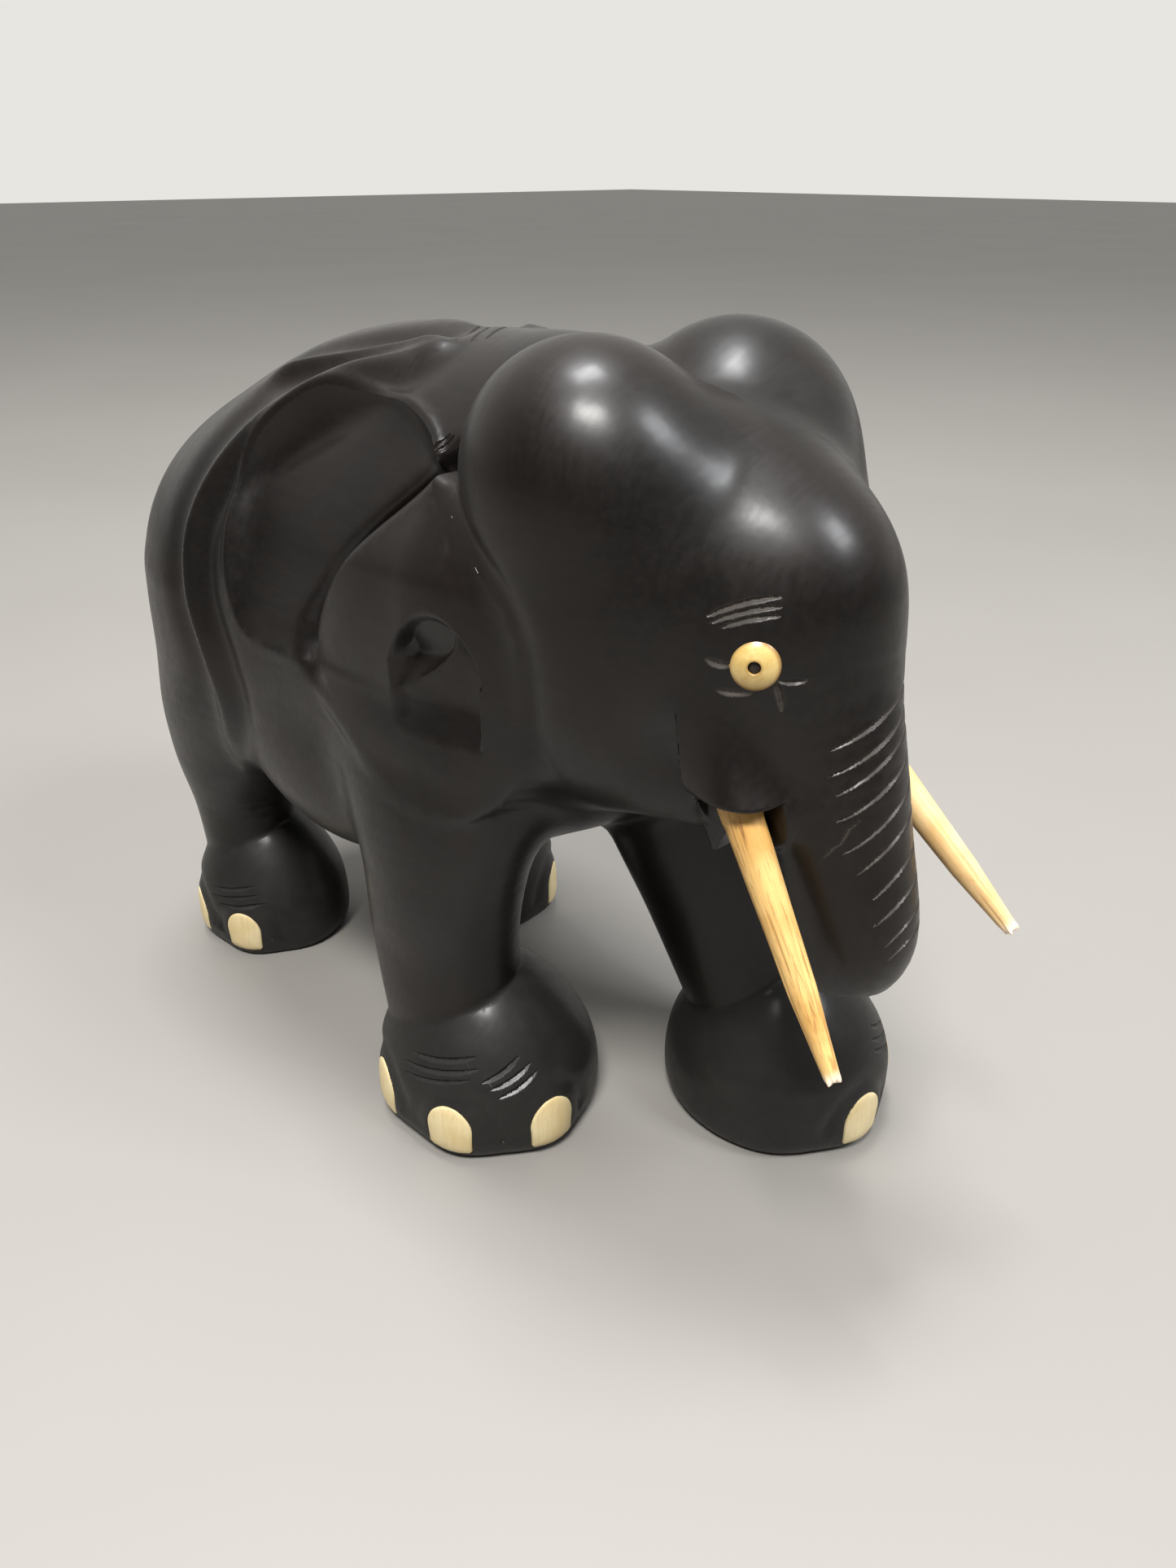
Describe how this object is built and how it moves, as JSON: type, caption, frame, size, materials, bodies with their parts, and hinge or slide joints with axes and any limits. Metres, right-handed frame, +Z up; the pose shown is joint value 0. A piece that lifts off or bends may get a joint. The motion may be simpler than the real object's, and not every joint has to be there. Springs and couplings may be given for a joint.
{
  "type": "carved elephant figurine",
  "caption": "Carved ebony elephant standing in mid-stride, with pull-out tapered tusks, inlaid bead eyes and inlaid toenails.",
  "frame": {"origin": "on the table, under the middle of the whole figure's box", "axes": "+X the way the elephant faces, +Y its left, +Z up"},
  "size_m": [0.3142, 0.1406, 0.24],
  "materials": {
    "ebony": "satin",
    "tusk": "matte",
    "eye_bead": "satin",
    "pupil": "satin",
    "toenail": "satin"
  },
  "bodies": {
    "root": {"carving": "ebony", "eye_right": "eye_bead", "eye_left": "eye_bead", "pupil_pin_right": "pupil", "pupil_pin_left": "pupil", "front_nail_right_1": "toenail", "front_nail_right_2": "toenail", "front_nail_right_3": "toenail", "front_nail_left_1": "toenail", "front_nail_left_2": "toenail", "front_nail_left_3": "toenail", "rear_nail_right_1": "toenail", "rear_nail_right_2": "toenail", "rear_nail_left_1": "toenail", "rear_nail_left_2": "toenail"},
    "tusk_right": {"tusk_right": "tusk"},
    "tusk_left": {"tusk_left": "tusk"}
  },
  "joints": [
    {"name": "tusk_right_pull", "type": "slide", "parent": "root", "child": "tusk_right", "axis": [0.5665, -0.0897, -0.8192], "range_m": [0, 0.015]},
    {"name": "tusk_left_pull", "type": "slide", "parent": "root", "child": "tusk_left", "axis": [0.734, 0.1163, -0.6691], "range_m": [0, 0.015]}
  ]
}
